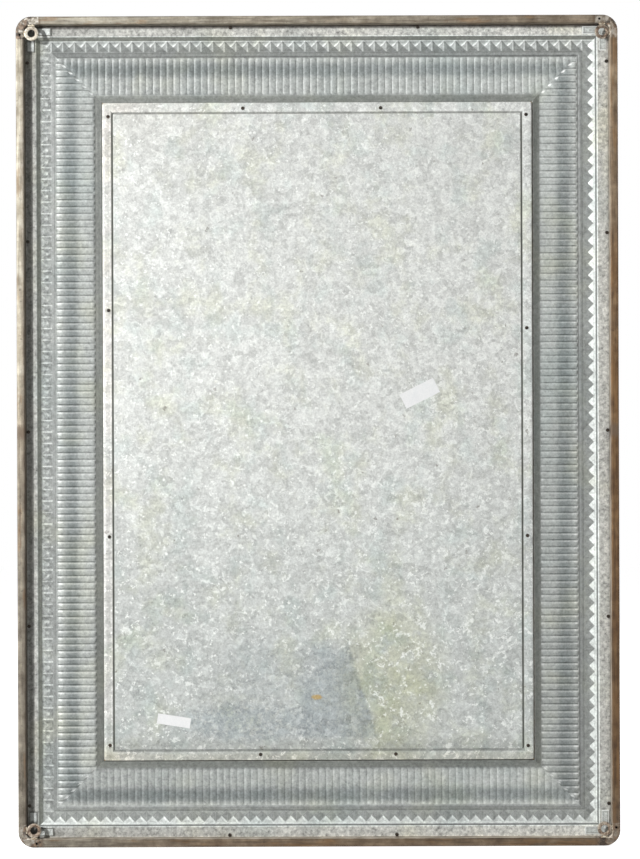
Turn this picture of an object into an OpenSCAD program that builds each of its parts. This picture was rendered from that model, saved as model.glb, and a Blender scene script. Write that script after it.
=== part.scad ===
// Galvanised tin wall mirror: a tube rail round a pressed, mitred moulding that carries the glass.
// Millimetres. +Z is up, the glass looks towards -Y and the wall is behind it, half the depth
// of the rail from the origin.
// Left and right are as seen by someone who looks into the glass, so right is +X.
// Pieces are drawn flat first: x across, y up, z the depth from the wall plane into the room.
// Across the frame a place is told by its inset, the distance inwards from the outer edge.

/* [Overall] */
// Outside width of the frame
frame_w = 736; // [600:1:900]
// Outside height of the frame
frame_h = 1016; // [800:1:1300]
// Clearance between pieces that are laid in loose
seat_gap = 0.3; // [0.2:0.05:0.5]

/* [Rail] */
// Width of the tube, seen from behind
rail_w = 10; // [9:0.5:12]
// Depth of the tube from the wall to the room
rail_d = 25; // [22:0.5:32]
// Wall of the tube
rail_wall = 1.2; // [0.8:0.1:1.6]
// Rounding of the tube's long edges
rail_edge_r = 2; // [1.7:0.1:2.5]
// Outer radius of the corner bends
corner_r = 19; // [18:0.5:22]
// Reach of a corner bend along each rail, from the outer corner
corner_leg = 28; // [26:0.5:40]
// Diameter of the vent hole in each corner bend
vent_d = 3; // [2:0.5:4]
// Distance of the vent hole from the outer corner
vent_reach = 22.5; // [22:0.5:23.5]

/* [Hanging rings] */
// Outer diameter of a ring
ring_d = 17.8; // [15:0.2:18]
// Hole of a ring
ring_hole_d = 9; // [7:0.5:11]
// Thickness of a ring
ring_t = 3; // [2:0.5:4]
// Gap between a ring and the side rail, closed by the weld
ring_side_gap = 0.3; // [0.1:0.1:1]
// Gap between a ring and the top or bottom rail, closed by the weld
ring_end_gap = 1.9; // [1:0.1:2.5]
// Radius of a weld bead
weld_r = 3.2; // [2.5:0.1:4]
// How far a weld bead lies below the face of the ring
weld_sink = 0.6; // [0.3:0.1:1]

/* [Ledge bars] */
// Thickness of the flat bars that the moulding lies on
ledge_t = 3; // [2:0.5:4]

/* [Moulding] */
// Thickness of the pressed sheet
tin_t = 0.8; // [0.5:0.1:1]
// Depth of the flat outer strip behind the rail's back
strip_depth = 14; // [12:0.5:15]
// Width of the flat outer strip
strip_w = 13.5; // [12:0.5:16]
// Width of the riser between the strip and the pyramids
riser_w = 4.5; // [3:0.5:6]
// Drop of the riser towards the room
riser_drop = 4.5; // [3:0.5:8]
// Width of the band of pyramids
pyramid_w = 13.5; // [11:0.5:16]
// Pitch of the pyramids, fitted to a whole number on each side
pyramid_pitch = 14.1; // [12:0.1:18]
// Height of a pyramid, standing into the room
pyramid_h = 3.2; // [2:0.1:4.5]
// Width of the bead between the pyramids and the flutes
bead_w = 6.7; // [5:0.1:8]
// Height of the bead, standing towards the wall
bead_h = 2.2; // [1.5:0.1:3]
// Length of the flutes, across the moulding
flute_len = 46.8; // [40:0.2:54]
// Pitch of the flutes
flute_pitch = 8.4; // [7:0.1:10]
// Height of a flute, standing towards the wall
flute_h = 1.9; // [1.2:0.1:2.4]
// Width of the plain gutter inside the flutes, which slopes up to a ridge
gutter_w = 6.6; // [5:0.2:9]
// Rise of the gutter towards the wall
gutter_rise = 2.6; // [2:0.1:3]
// Width of the flat top of the ridge
ridge_w = 1; // [0.8:0.1:1.6]
// Width of the steep wall from the ridge down to the rim
ridge_wall_w = 1.6; // [1.2:0.1:2.4]
// Dip of the rim towards the room, below the foot of the flutes
rim_dip = 0.5; // [0:0.1:1.5]
// Width of the flat rim that the glass lies on
rim_w = 22; // [20.5:0.5:30]

/* [Glass and back] */
// Distance from the foot of the ridge to the edge of the back plate
plate_margin = 0.1; // [0:0.1:1.5]
// Width of the battens round the glass
batten_w = 10.5; // [10:0.5:12]
// Height of the battens, which the glass and its board fill
batten_t = 5; // [4.5:0.5:5]
// Thickness of the mirror glass
glass_t = 3; // [2:0.5:4]
// Thickness of the back plate
plate_t = 0.8; // [0.6:0.1:1]
// Radius of the back plate's corners
plate_corner_r = 2.5; // [1:0.5:6]
// Width of the groove pressed into the back plate
groove_w = 1.8; // [1.2:0.1:2.4]
// Depth of the groove
groove_depth = 1.2; // [0.8:0.1:1.6]
// Radius of the groove's corners
groove_corner_r = 3; // [2:0.5:6]

/* [Corner braces] */
// Width of each arm
brace_w = 9; // [8.5:0.5:10]
// Reach of each arm from the frame's outer corner
brace_reach = 42; // [34:1:48]
// Thickness of a brace
brace_t = 1.2; // [0.8:0.1:2]
// Distance of a brace from the rail
brace_gap = 2.5; // [2:0.1:3]

/* [Screws] */
// Diameter of a screw head
head_d = 4.2; // [3.6:0.1:4.4]
// Height of a screw head
head_h = 1.4; // [1:0.1:1.5]
// Diameter of a screw's shank
shank_d = 2.4; // [2:0.1:2.6]
// Clearance round a shank, on the radius
shank_gap = 0.1; // [0.05:0.05:0.2]
// Distance of the strip screws from the rail
strip_screw_gap = 2.6; // [2.5:0.1:4]
// Distance of the first strip screw on a side rail from the frame's end
strip_screw_end = 55; // [50:1:70]
// Number of strip screws along each side rail
strip_screw_count = 5; // [3:1:7]
// Distance between the two strip screws at the top, and at the bottom
strip_screw_pair = 220; // [120:5:260]
// Length of a plate screw's shank
plate_screw_len = 5; // [4:0.1:5]
// Distance of the plate screws from the plate's edge
plate_screw_edge = 7.2; // [6:0.1:7.5]
// Distance of the first plate screw on each side from the plate's end
plate_screw_end = 17; // [16:1:30]
// Number of plate screws along each side
plate_screw_count = 4; // [3:1:6]
// Distance between the two plate screws at the top, and at the bottom
plate_screw_pair = 168; // [100:2:240]

/* [Labels] */
// Width of the upper label
upper_label_w = 46; // [30:1:60]
// Height of the upper label
upper_label_h = 19.5; // [12:0.5:30]
// Width of the lower label
lower_label_w = 41; // [30:1:60]
// Height of the lower label
lower_label_h = 12.5; // [8:0.5:20]
// Thickness of the labels
label_t = 0.2; // [0.1:0.05:0.3]

/* [Hidden] */
$fn = 48;

// Each screw was set by hand, so it sits this far from its even place, from top to bottom or
// from left to right.
strip_drift_right = [0, 7, 0, -12, -6];
strip_drift_left = [0, 16, 0, -2, -5];
strip_drift_top = [-14, -4];
strip_drift_bottom = [15, 0];
plate_drift_right = [0, 20, 0, 2];
plate_drift_left = [1, -3, 0, 0];
plate_drift_top = [6, 7];
plate_drift_bottom = [-10, -12];
// Centre of each label, from the near side and end of the frame, and its turn on the plate
upper_label_at = [243 - frame_w / 2, 46];
upper_label_turn = -26.6;
lower_label_at = [frame_w / 2 - 190, 153 - frame_h / 2];
lower_label_turn = 9;

// Insets of the moulding's bends
strip_in = rail_w + seat_gap;
riser_in = rail_w + strip_w;
pyramid_in = riser_in + riser_w;
bead_in = pyramid_in + pyramid_w;
flute_in = bead_in + bead_w;
gutter_in = flute_in + flute_len;
ridge_in = gutter_in + gutter_w;
rim_in = ridge_in + ridge_w + ridge_wall_w;
sight_in = rim_in + rim_w;
// Depths of the back of the sheet at those bends
pyramid_depth = strip_depth + riser_drop;
ridge_depth = pyramid_depth - gutter_rise;
rim_depth = pyramid_depth + rim_dip;
// Share of a flute's length in which it rises from each of its closed ends
flute_fade = 0.07;
// Nearest that a flute's edge comes to the mitre
mitre_clear = 0.3;
// The flat strip and the ledge are cut back to clear the inside of the corner bend
bend_in_r = corner_r - rail_w;
notch_in = corner_r - 1;
mitre_in = rail_w + bend_in_r * (1 - sin(45)) + 1;

// Rings
ring_r = ring_d / 2;
ring_clear_in = corner_r - (bend_in_r - ring_r - seat_gap) * sin(45);
ring_in_x = max(rail_w + ring_r + ring_side_gap, ring_clear_in);
ring_in_z = max(rail_w + ring_r + ring_end_gap, ring_clear_in);

// Stack behind the glass
plate_in = rim_in + plate_margin;
batten_in = plate_in + 0.2;
groove_band_in = batten_in + batten_w + 0.2;
groove_in = groove_band_in + plate_t;
groove_band_w = groove_w + 2 * plate_t;
glass_in = groove_band_in + groove_band_w + 0.5;
plate_depth = rim_depth - batten_t - plate_t;
board_t = batten_t - glass_t;
strip_screw_in = rail_w + strip_screw_gap;
strip_screw_len = tin_t + ledge_t - 0.5;
plate_screw_in = plate_in + plate_screw_edge;

// Stands the flat drawing up: x stays, y becomes up and z becomes the depth towards the room
module stand_up() translate([0, rail_d / 2, 0]) rotate([90, 0, 0]) children();

// Flat outline of a child as a sheet that starts at a depth
module layer(depth, thickness) translate([0, 0, depth]) linear_extrude(thickness) children();

// Corner places: children are drawn in insets, x from the side and y from the top or bottom
module at_corner(side, end)
    translate([side * frame_w / 2, end * frame_h / 2, 0])
        mirror([side > 0 ? 1 : 0, 0, 0])
            mirror([0, end > 0 ? 1 : 0, 0])
                children();

module rounded_rect(w, h, r) {
    square([w - 2 * r, h], center = true);
    square([w, h - 2 * r], center = true);
    for (x = [-1, 1], y = [-1, 1])
        translate([x * (w / 2 - r), y * (h / 2 - r)])
            circle(r);
}

// Rounded outline of the whole frame at an inset
module frame_outline(inset, r) rounded_rect(frame_w - 2 * inset, frame_h - 2 * inset, r);

// Tube rail

// Section of the tube's outside, or of its hollow when sunk by its wall
module rail_section(sink = 0)
    translate([rail_w / 2, rail_d / 2])
        rounded_rect(rail_w - 2 * sink, rail_d - 2 * sink, rail_edge_r - sink);

// Straight length of tube along the top, or along another side once turned. It runs between
// two shares of the way from the middle to the corner bends.
module rail(run, half, from = -1, to = 1)
    translate([from * (run / 2 - corner_leg), half - rail_w, 0])
        rotate([90, 0, 90])
            linear_extrude((to - from) * (run / 2 - corner_leg))
                difference() {
                    rail_section();
                    rail_section(rail_wall);
                }

// Path of a corner bend, in insets, as a solid of the section that is passed
module bend_path() {
    translate([corner_r, corner_r, 0])
        rotate([0, 0, 180])
            rotate_extrude(angle = 90)
                translate([corner_r - rail_w, 0])
                    children();
    for (swap = [0, 1])
        mirror([swap, -swap, 0])
            translate([0, corner_leg, 0])
                rotate([90, 0, 0])
                    linear_extrude(corner_leg - corner_r)
                        children();
}

// Corner bend with its vent hole in the arm along the side rail or along the end rail
module corner_bend(vent_in_side)
    difference() {
        bend_path() rail_section();
        bend_path() rail_section(rail_wall);
        translate(vent_in_side ? [rail_w / 2, vent_reach, -1] : [vent_reach, rail_w / 2, -1])
            cylinder(d = vent_d, h = rail_wall + 2);
    }

// Hanging rings

module ring_place() translate([ring_in_x, ring_in_z, 0]) children();

module hanging_ring() {
    edge = 0.5;
    ring_place()
        rotate_extrude()
            polygon([
                [ring_hole_d / 2, 0], [ring_r - edge, 0], [ring_r, edge],
                [ring_r, ring_t - edge], [ring_r - edge, ring_t], [ring_hole_d / 2, ring_t]
            ]);
}

// Open space inside the corner of the rail, in insets
module inside_corner() {
    reach = corner_leg + ring_d;
    translate([corner_r, rail_w]) square(reach);
    translate([rail_w, corner_r]) square(reach);
    translate([corner_r, corner_r]) circle(bend_in_r);
}

// Two weld beads that close the gaps from a ring to the side rail and to the end rail
module ring_welds()
    layer(weld_sink, ring_t - weld_sink)
        difference() {
            intersection() {
                inside_corner();
                union() {
                    translate([rail_w, ring_in_z]) circle(weld_r);
                    translate([ring_in_x, rail_w]) circle(weld_r);
                }
            }
            translate([ring_in_x, ring_in_z]) circle(ring_r);
        }

// Ledge bars

// Mitred flat bar welded inside the rail
module ledge(run, half) {
    inner = riser_in - seat_gap;
    layer(strip_depth + tin_t, ledge_t)
        polygon([
            [notch_in - run / 2, half - rail_w], [run / 2 - notch_in, half - rail_w],
            [run / 2 - mitre_in, half - mitre_in], [run / 2 - inner, half - inner],
            [inner - run / 2, half - inner], [mitre_in - run / 2, half - mitre_in]
        ]);
}

// Moulding

// A row is a chain of points [along, inset, depth] at one inset, between the two mitres
function plain_row(run, inset, depth) =
    [for (s = [-1, 1]) [s * (run / 2 - inset), inset, depth]];

// The rows at the two edges and in the middle of the pyramids
function pyramid_count(run) = round((run - 2 * bead_in) / pyramid_pitch);
function pyramid_edge(run, k) =
    (run / 2 - bead_in) * (2 * k / pyramid_count(run) - 1);
function pyramid_outer_row(run) = concat(
    [[pyramid_in - run / 2, pyramid_in, pyramid_depth]],
    [for (k = [0:pyramid_count(run)]) [pyramid_edge(run, k), pyramid_in, pyramid_depth]],
    [[run / 2 - pyramid_in, pyramid_in, pyramid_depth]]
);
function pyramid_peak_row(run) =
    let (inset = pyramid_in + pyramid_w / 2, depth = pyramid_depth + pyramid_h)
    concat(
        [[inset - run / 2, inset, depth]],
        [for (k = [0:pyramid_count(run) - 1]) [pyramid_edge(run, k + 0.5), inset, depth]],
        [[run / 2 - inset, inset, depth]]
    );
function pyramid_inner_row(run) =
    [for (k = [0:pyramid_count(run)]) [pyramid_edge(run, k), bead_in, pyramid_depth]];

// Row of flutes at a share of their length: crests and valleys in turn, out from the middle
function flute_row(run, share, height) =
    let (
        inset = flute_in + share * flute_len,
        depth = pyramid_depth,
        last = floor((run / 2 - inset - mitre_clear) / (flute_pitch / 2))
    )
    concat(
        [[inset - run / 2, inset, depth - height / 2]],
        [for (k = [-last:last]) [k * flute_pitch / 2, inset, depth - (k % 2 == 0 ? 0 : height)]],
        [[run / 2 - inset, inset, depth - height / 2]]
    );

// All rows of one side, from the rail to the sight edge. The steep wall keeps its thickness
// because its two rows also move outwards by a share of the lift of the face.
PEAK_ROW = 4;
wall_shift = 0.6;
function moulding_rows(run, lift) = [
    [for (s = [-1, 1]) [s * (run / 2 - notch_in), strip_in, strip_depth]],
    plain_row(run, mitre_in, strip_depth),
    plain_row(run, riser_in, strip_depth),
    pyramid_outer_row(run),
    pyramid_peak_row(run),
    pyramid_inner_row(run),
    plain_row(run, bead_in + bead_w / 2, pyramid_depth - bead_h),
    flute_row(run, 0, 0),
    flute_row(run, flute_fade, flute_h),
    flute_row(run, 1 - flute_fade, flute_h),
    flute_row(run, 1, 0),
    plain_row(run, ridge_in, ridge_depth),
    plain_row(run, ridge_in + ridge_w - lift * wall_shift, ridge_depth),
    plain_row(run, rim_in - lift * wall_shift, rim_depth),
    plain_row(run, sight_in, rim_depth)
];

function row_start(rows, r) = r == 0 ? 0 : row_start(rows, r - 1) + len(rows[r - 1]);

// Triangles between two rows: each step takes the point that comes next along the side
function takes_outer(at, outer, inner) =
    at[1] == len(inner) - 1
    || (at[0] < len(outer) - 1 && outer[at[0] + 1][0] <= inner[at[1] + 1][0]);
function stitch(outer, inner, o, i) = [
    for (
        at = [0, 0];
        at[0] + at[1] < len(outer) + len(inner) - 2;
        at = takes_outer(at, outer, inner) ? [at[0] + 1, at[1]] : [at[0], at[1] + 1]
    )
    takes_outer(at, outer, inner)
        ? [o + at[0], i + at[1], o + at[0] + 1]
        : [o + at[0], i + at[1], i + at[1] + 1]
];

// Four faces to each pyramid and two to each half pyramid at a mitre
function pyramid_faces(count, outer, peak, inner) = concat(
    [[outer, peak, outer + 1], [outer + 1, peak, inner]],
    [
        for (k = [0:count - 1])
        let (a = outer + 1 + k, b = a + 1, p = peak + 1 + k, c = inner + k, d = c + 1)
        each [[a, p, b], [b, p, d], [d, p, c], [c, p, a]]
    ],
    [
        [outer + 1 + count, peak + 1 + count, outer + 2 + count],
        [inner + count, peak + 1 + count, outer + 1 + count]
    ]
);

// Pressed sheet of one mitred side
module moulding_sheet(run, half) {
    rows = moulding_rows(run, 0);
    last = len(rows) - 1;
    starts = [for (r = [0:last + 1]) row_start(rows, r)];
    total = starts[last + 1];
    back = concat(
        [
            for (r = [0:last - 1])
            if (r != PEAK_ROW - 1 && r != PEAK_ROW)
            each stitch(rows[r], rows[r + 1], starts[r], starts[r + 1])
        ],
        pyramid_faces(
            pyramid_count(run), starts[PEAK_ROW - 1], starts[PEAK_ROW], starts[PEAK_ROW + 1]
        )
    );
    front = [for (f = back) [f[2] + total, f[1] + total, f[0] + total]];
    edges = [
        [0, 1, 1 + total, total],
        [total - 1, total - 2, 2 * total - 2, 2 * total - 1],
        for (r = [0:last - 1])
            let (a = starts[r], b = starts[r + 1], c = starts[r + 1] - 1, d = starts[r + 2] - 1)
            each [[b, a, a + total, b + total], [c, d, d + total, c + total]]
    ];
    polyhedron(
        points = [
            for (lift = [0, tin_t], row = moulding_rows(run, lift), p = row)
            [p[0], half - p[1], p[2] + lift]
        ],
        faces = concat(back, front, edges),
        convexity = 10
    );
}

// Screws

// Even places along a line, each moved by its drift; y is up the side or x is to the right
function down_the_side(span, drift) = [
    for (k = [0:len(drift) - 1]) span / 2 - k * span / (len(drift) - 1) + drift[k]
];
function spread(count, drift) = [for (k = [0:count - 1]) k < len(drift) ? drift[k] : 0];
function side_places(inset, end, count, drift_left, drift_right) = concat(
    [for (z = down_the_side(frame_h - 2 * end, spread(count, drift_left))) [inset - frame_w / 2, z]],
    [for (z = down_the_side(frame_h - 2 * end, spread(count, drift_right))) [frame_w / 2 - inset, z]]
);
function end_places(inset, pair, drift_top, drift_bottom) = [
    for (end = [1, -1], k = [0, 1])
    [(k - 0.5) * pair + (end > 0 ? drift_top : drift_bottom)[k], end * (frame_h / 2 - inset)]
];
strip_places = concat(
    side_places(
        strip_screw_in, strip_screw_end, strip_screw_count, strip_drift_left, strip_drift_right
    ),
    end_places(strip_screw_in, strip_screw_pair, strip_drift_top, strip_drift_bottom)
);
plate_places = concat(
    side_places(
        plate_screw_in, plate_in + plate_screw_end, plate_screw_count,
        plate_drift_left, plate_drift_right
    ),
    end_places(plate_screw_in, plate_screw_pair, plate_drift_top, plate_drift_bottom)
);

// Pan-head screw with a cross recess; its head lies on the depth that it is placed at
module screw(length) {
    bevel = 0.5;
    slot_w = 0.6;
    slot_len = 2.4;
    slot_depth = 0.6;
    difference() {
        rotate_extrude()
            polygon([
                [0, -head_h], [head_d / 2 - bevel, -head_h], [head_d / 2, bevel - head_h],
                [head_d / 2, 0], [shank_d / 2, 0], [shank_d / 2, length - shank_d / 2],
                [0, length]
            ]);
        for (turn = [0, 90])
            rotate([0, 0, turn])
                translate([-slot_len / 2, -slot_w / 2, -head_h - 1])
                    cube([slot_len, slot_w, slot_depth + 1]);
    }
}

module screw_holes(places, depth, length)
    for (p = places)
        translate([p[0], p[1], depth])
            cylinder(r = shank_d / 2 + shank_gap, h = length);

// Holes for the strip screws through the sheet and the ledge
module strip_screw_holes() screw_holes(strip_places, strip_depth - 1, ledge_t + tin_t + 2);

// Holes for the plate screws through the plate and into the battens
module plate_screw_holes() screw_holes(plate_places, plate_depth - 1, plate_screw_len + 1 + seat_gap);

// Corner brace: two arms across the mitre, rounded to clear the bend
module corner_brace() {
    near = rail_w + brace_gap;
    bend = bend_in_r - 3;
    arm = brace_reach - near;
    layer(strip_depth - brace_t, brace_t)
        difference() {
            union() {
                translate([near + bend, near]) square([arm - bend, brace_w]);
                translate([near, near + bend]) square([brace_w, arm - bend]);
                translate([near + bend, near + bend]) circle(bend);
                translate([near + bend, near + bend]) square(brace_w - bend);
            }
            first_screw_relief();
        }
}

// The first strip screw stands past the brace, or in a notch of it where the arm is long
module first_screw_relief()
    translate([strip_screw_in, strip_screw_end])
        circle(head_d / 2 + seat_gap);

// Glass and back

// Side battens run full height and the end battens fit between them
module side_batten()
    translate([batten_in - frame_w / 2, batten_in - frame_h / 2, rim_depth - batten_t])
        cube([batten_w, frame_h - 2 * batten_in, batten_t]);

module end_batten()
    translate([batten_in + batten_w - frame_w / 2, batten_in - frame_h / 2, rim_depth - batten_t])
        cube([frame_w - 2 * (batten_in + batten_w), batten_w, batten_t]);

module label(at, turn, w, h)
    layer(plate_depth - label_t, label_t)
        translate(at)
            rotate(turn)
                square([w, h], center = true);

// Nodes

galvanised = [0.74, 0.76, 0.75];
rail_brown = [0.46, 0.40, 0.33];
weld_brown = [0.55, 0.45, 0.36];
screw_black = [0.16, 0.15, 0.13];
paper_white = [0.93, 0.93, 0.92];
pine = [0.78, 0.62, 0.42];

module rail_top() color(rail_brown) stand_up() rail(frame_w, frame_h / 2);
module rail_bottom() color(rail_brown) stand_up() rotate([0, 0, 180]) rail(frame_w, frame_h / 2);
// Each side rail is two lengths that meet in a butt weld at mid-height
module rail_side(turn, from, to)
    color(rail_brown) stand_up() rotate([0, 0, turn]) rail(frame_h, frame_w / 2, from, to);
module rail_right_upper() rail_side(-90, -1, 0);
module rail_right_lower() rail_side(-90, 0, 1);
module rail_left_upper() rail_side(90, 0, 1);
module rail_left_lower() rail_side(90, -1, 0);

module corner_top_left() color(rail_brown) stand_up() at_corner(-1, 1) corner_bend(false);
module corner_top_right() color(rail_brown) stand_up() at_corner(1, 1) corner_bend(true);
module corner_bottom_left() color(rail_brown) stand_up() at_corner(-1, -1) corner_bend(true);
module corner_bottom_right() color(rail_brown) stand_up() at_corner(1, -1) corner_bend(false);

module ring_top_left() color(galvanised) stand_up() at_corner(-1, 1) hanging_ring();
module ring_top_right() color(galvanised) stand_up() at_corner(1, 1) hanging_ring();
module ring_bottom_left() color(galvanised) stand_up() at_corner(-1, -1) hanging_ring();
module ring_bottom_right() color(galvanised) stand_up() at_corner(1, -1) hanging_ring();

module weld_top_left() color(weld_brown) stand_up() at_corner(-1, 1) ring_welds();
module weld_top_right() color(weld_brown) stand_up() at_corner(1, 1) ring_welds();
module weld_bottom_left() color(weld_brown) stand_up() at_corner(-1, -1) ring_welds();
module weld_bottom_right() color(weld_brown) stand_up() at_corner(1, -1) ring_welds();

// A ledge or moulding is drawn along the top and turned to its side, so its holes are turned back
module ledge_side(turn, run, half)
    stand_up()
        difference() {
            rotate([0, 0, turn]) ledge(run, half);
            strip_screw_holes();
        }

module ledge_top() color(rail_brown) ledge_side(0, frame_w, frame_h / 2);
module ledge_bottom() color(rail_brown) ledge_side(180, frame_w, frame_h / 2);
module ledge_right() color(rail_brown) ledge_side(-90, frame_h, frame_w / 2);
module ledge_left() color(rail_brown) ledge_side(90, frame_h, frame_w / 2);

module moulding_side(turn, run, half)
    stand_up()
        difference() {
            rotate([0, 0, turn]) moulding_sheet(run, half);
            strip_screw_holes();
        }

module moulding_top() color(galvanised) moulding_side(0, frame_w, frame_h / 2);
module moulding_bottom() color(galvanised) moulding_side(180, frame_w, frame_h / 2);
module moulding_right() color(galvanised) moulding_side(-90, frame_h, frame_w / 2);
module moulding_left() color(galvanised) moulding_side(90, frame_h, frame_w / 2);

module brace_top_left() color(galvanised) stand_up() at_corner(-1, 1) corner_brace();
module brace_top_right() color(galvanised) stand_up() at_corner(1, 1) corner_brace();
module brace_bottom_left() color(galvanised) stand_up() at_corner(-1, -1) corner_brace();
module brace_bottom_right() color(galvanised) stand_up() at_corner(1, -1) corner_brace();

module batten_left() color(pine) stand_up() difference() { side_batten(); plate_screw_holes(); }
module batten_right()
    color(pine) stand_up() difference() { rotate([0, 0, 180]) side_batten(); plate_screw_holes(); }
module batten_bottom() color(pine) stand_up() difference() { end_batten(); plate_screw_holes(); }
module batten_top()
    color(pine) stand_up() difference() { rotate([0, 0, 180]) end_batten(); plate_screw_holes(); }

module mirror_glass()
    color([0.72, 0.80, 0.84])
        stand_up()
            layer(rim_depth - glass_t, glass_t)
                square([frame_w - 2 * glass_in, frame_h - 2 * glass_in], center = true);

module backing_board()
    color([0.45, 0.33, 0.22])
        stand_up()
            layer(rim_depth - batten_t, board_t)
                square([frame_w - 2 * glass_in, frame_h - 2 * glass_in], center = true);

// Sheet with a groove pressed all round, which dips into the gap between battens and glass
module back_plate()
    color(galvanised)
        stand_up()
            difference() {
                union() {
                    layer(plate_depth, plate_t) frame_outline(plate_in, plate_corner_r);
                    layer(plate_depth, plate_t + groove_depth)
                        difference() {
                            frame_outline(groove_band_in, groove_corner_r + plate_t);
                            frame_outline(groove_band_in + groove_band_w, groove_corner_r / 2);
                        }
                }
                layer(plate_depth - 1, groove_depth + 1)
                    difference() {
                        frame_outline(groove_in, groove_corner_r);
                        frame_outline(groove_in + groove_w, groove_corner_r / 2);
                    }
                plate_screw_holes();
            }

module strip_screws()
    color(screw_black)
        stand_up()
            for (p = strip_places)
                translate([p[0], p[1], strip_depth])
                    screw(strip_screw_len);

module plate_screws()
    color(screw_black)
        stand_up()
            for (p = plate_places)
                translate([p[0], p[1], plate_depth])
                    screw(plate_screw_len);

module upper_label()
    color(paper_white)
        stand_up()
            label(upper_label_at, upper_label_turn, upper_label_w, upper_label_h);

module lower_label()
    color(paper_white)
        stand_up()
            label(lower_label_at, lower_label_turn, lower_label_w, lower_label_h);

rail_left_upper();
rail_left_lower();
rail_right_upper();
rail_right_lower();
rail_top();
rail_bottom();
corner_top_left();
corner_top_right();
corner_bottom_left();
corner_bottom_right();
ring_top_left();
ring_top_right();
ring_bottom_left();
ring_bottom_right();
weld_top_left();
weld_top_right();
weld_bottom_left();
weld_bottom_right();
ledge_left();
ledge_right();
ledge_top();
ledge_bottom();
moulding_left();
moulding_right();
moulding_top();
moulding_bottom();
brace_top_left();
brace_top_right();
brace_bottom_left();
brace_bottom_right();
batten_left();
batten_right();
batten_top();
batten_bottom();
mirror_glass();
backing_board();
back_plate();
strip_screws();
plate_screws();
upper_label();
lower_label();
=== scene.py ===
import math

import bmesh
import bpy
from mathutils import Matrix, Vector, noise


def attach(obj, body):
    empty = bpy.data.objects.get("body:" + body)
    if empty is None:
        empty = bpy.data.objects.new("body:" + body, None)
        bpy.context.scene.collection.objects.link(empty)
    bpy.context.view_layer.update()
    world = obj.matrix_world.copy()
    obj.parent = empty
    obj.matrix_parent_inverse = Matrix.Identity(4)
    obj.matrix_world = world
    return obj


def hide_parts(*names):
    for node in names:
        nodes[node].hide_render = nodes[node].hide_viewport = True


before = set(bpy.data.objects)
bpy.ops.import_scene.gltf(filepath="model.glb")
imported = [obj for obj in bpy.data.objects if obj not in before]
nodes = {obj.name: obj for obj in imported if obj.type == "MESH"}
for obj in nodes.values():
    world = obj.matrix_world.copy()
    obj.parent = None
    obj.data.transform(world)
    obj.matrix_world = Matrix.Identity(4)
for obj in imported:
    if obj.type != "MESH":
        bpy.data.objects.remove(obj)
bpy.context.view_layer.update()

# Whole mirror
# A wide frame of pressed galvanised sheet in a rail of steel tube. The glass looks towards -Y.
# Finishes go by the place in the frame, so weathering and painted light and shade run on from piece to
# piece.

# Tube rail
# Rectangular steel tube, cut to length and butt welded to bent corners, oiled and left to
# turn brown. The rails are paler towards the top right, partly painted light, and greyer at the
# lower right, and both side rails are joined halfway.
MM, MM_PER_M = 0.001, 1000.0
FRAME_W, FRAME_H = 736.0, 1016.0
CORNER_REACH = 28.0


class Wire:
    """An output in a node tree. Arithmetic on it adds Math nodes."""

    def __init__(self, wiring, socket):
        self.wiring, self.socket = wiring, socket

    def out(self, name):
        return Wire(self.wiring, self.socket.node.outputs[name])

    def math(self, operation, *values):
        return self.wiring.node("ShaderNodeMath", {"operation": operation}, dict(enumerate(values)))

    def __add__(self, other):
        return self.math("ADD", self, other)

    def __sub__(self, other):
        return self.math("SUBTRACT", self, other)

    def __rsub__(self, other):
        return self.math("SUBTRACT", other, self)

    def __mul__(self, other):
        return self.math("MULTIPLY", self, other)

    __radd__ = __add__
    __rmul__ = __mul__

    def least(self, other):
        return self.math("MINIMUM", self, other)

    def most(self, other):
        return self.math("MAXIMUM", self, other)

    def above(self, other):
        return self.math("GREATER_THAN", self, other)

    def size(self):
        return self.math("ABSOLUTE", self)

    def rise(self, start, end):
        """0 up to start, 1 from end, smooth between them."""
        return self.wiring.node(
            "ShaderNodeMapRange", {"interpolation_type": "SMOOTHSTEP"},
            {0: self, 1: start, 2: end, 3: 0.0, 4: 1.0},
        )

    def fall(self, start, end):
        """1 up to start, 0 from end, smooth between them."""
        return 1.0 - self.rise(start, end)

    def band(self, low, full, drop, gone):
        """1 from full to drop, 0 below low and past gone."""
        return self.rise(low, full) * self.fall(drop, gone)


class Wiring:
    """A node tree that nodes are added to."""

    def __init__(self, tree):
        self.tree = tree

    def node(self, kind, settings=None, inputs=None):
        made = self.tree.nodes.new(kind)
        for key, value in (settings or {}).items():
            if key == "stops":
                ramp = made.color_ramp
                while len(ramp.elements) < len(value):
                    ramp.elements.new(0.5)
                for element, (where, tone) in zip(ramp.elements, value):
                    element.position = where
                    element.color = tone if len(tone) == 4 else (*tone, 1.0)
            else:
                setattr(made, key, value)
        for key, value in (inputs or {}).items():
            if isinstance(value, Wire):
                self.tree.links.new(value.socket, made.inputs[key])
            else:
                made.inputs[key].default_value = value
        return Wire(self, made.outputs[0])


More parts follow.
